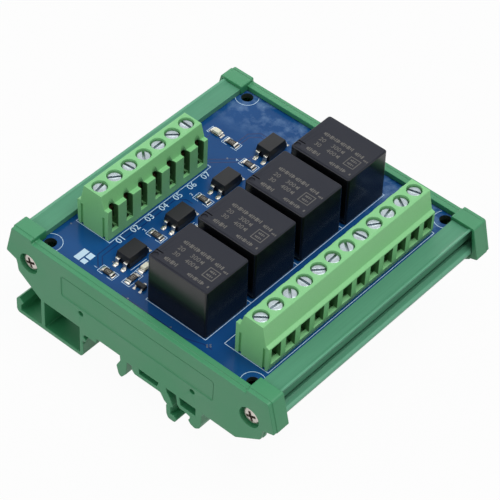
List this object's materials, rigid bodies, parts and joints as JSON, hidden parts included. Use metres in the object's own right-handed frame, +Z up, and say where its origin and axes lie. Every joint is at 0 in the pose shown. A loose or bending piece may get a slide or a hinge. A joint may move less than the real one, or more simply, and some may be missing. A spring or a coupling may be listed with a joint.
{
  "type": "relay module board",
  "caption": "Relay module board with screw terminal rows, optocouplers and sealed relays, slid into an extruded carrier whose moulded end plates clip onto a mounting rail.",
  "frame": {"origin": "middle of the carrier in the plane under its feet", "axes": "+X from the input terminals to the output terminals, +Y along the carrier, +Z up out of the board"},
  "size_m": [0.0862, 0.0808, 0.0416],
  "materials": {
    "board_blue": "blue solder mask on glass fibre board",
    "chip_black": "moulded epoxy",
    "clamp_cage_brass": "nickel plated brass",
    "clamp_screw_zinc": "zinc plated steel",
    "contact_brass": "tinned brass",
    "end_plate_green": "moulded plastic, fine matt texture",
    "lamp_white": "clear resin over a white base",
    "lead_tin": "tin plated",
    "plate_screw_nickel": "nickel plated steel",
    "profile_green": "extruded rigid plastic, satin",
    "relay_base_black": "moulded plastic",
    "relay_case_black": "moulded plastic, matt top, glossy sides",
    "resistor_ceramic": "glazed film on ceramic",
    "solder_tin": "tin solder",
    "terminal_green": "moulded plastic, satin"
  },
  "bodies": {
    "root": {"carrier_profile": "profile_green", "front_end_plate": "end_plate_green", "rear_end_plate": "end_plate_green", "end_plate_screws": "plate_screw_nickel", "circuit_board": "board_blue", "input_terminal_body": "terminal_green", "input_terminal_screws": "clamp_screw_zinc", "input_terminal_cages": "clamp_cage_brass", "input_terminal_contacts": "contact_brass", "output_terminal_body": "terminal_green", "output_terminal_screws": "clamp_screw_zinc", "output_terminal_cages": "clamp_cage_brass", "output_terminal_contacts": "contact_brass", "relay_case_1": "relay_case_black", "relay_case_2": "relay_case_black", "relay_case_3": "relay_case_black", "relay_case_4": "relay_case_black", "relay_base_1": "relay_base_black", "relay_base_2": "relay_base_black", "relay_base_3": "relay_base_black", "relay_base_4": "relay_base_black", "relay_pins_1": "lead_tin", "relay_pins_2": "lead_tin", "relay_pins_3": "lead_tin", "relay_pins_4": "lead_tin", "optocoupler_1": "chip_black", "optocoupler_2": "chip_black", "optocoupler_3": "chip_black", "optocoupler_4": "chip_black", "optocoupler_leads_1": "lead_tin", "optocoupler_leads_2": "lead_tin", "optocoupler_leads_3": "lead_tin", "optocoupler_leads_4": "lead_tin", "driver_transistor_1": "chip_black", "driver_transistor_2": "chip_black", "driver_transistor_3": "chip_black", "driver_transistor_4": "chip_black", "flyback_diode_1": "chip_black", "flyback_diode_2": "chip_black", "flyback_diode_3": "chip_black", "flyback_diode_4": "chip_black", "channel_led_1": "lamp_white", "channel_led_2": "lamp_white", "channel_led_3": "lamp_white", "channel_led_4": "lamp_white", "input_resistor_1": "resistor_ceramic", "input_resistor_2": "resistor_ceramic", "input_resistor_3": "resistor_ceramic", "input_resistor_4": "resistor_ceramic", "base_resistor_1": "resistor_ceramic", "base_resistor_2": "resistor_ceramic", "base_resistor_3": "resistor_ceramic", "base_resistor_4": "resistor_ceramic", "power_led": "lamp_white", "power_resistor": "resistor_ceramic", "transistor_leads": "lead_tin", "diode_leads": "lead_tin", "chip_end_caps": "lead_tin", "solder_joints": "solder_tin"}
  },
  "joints": []
}
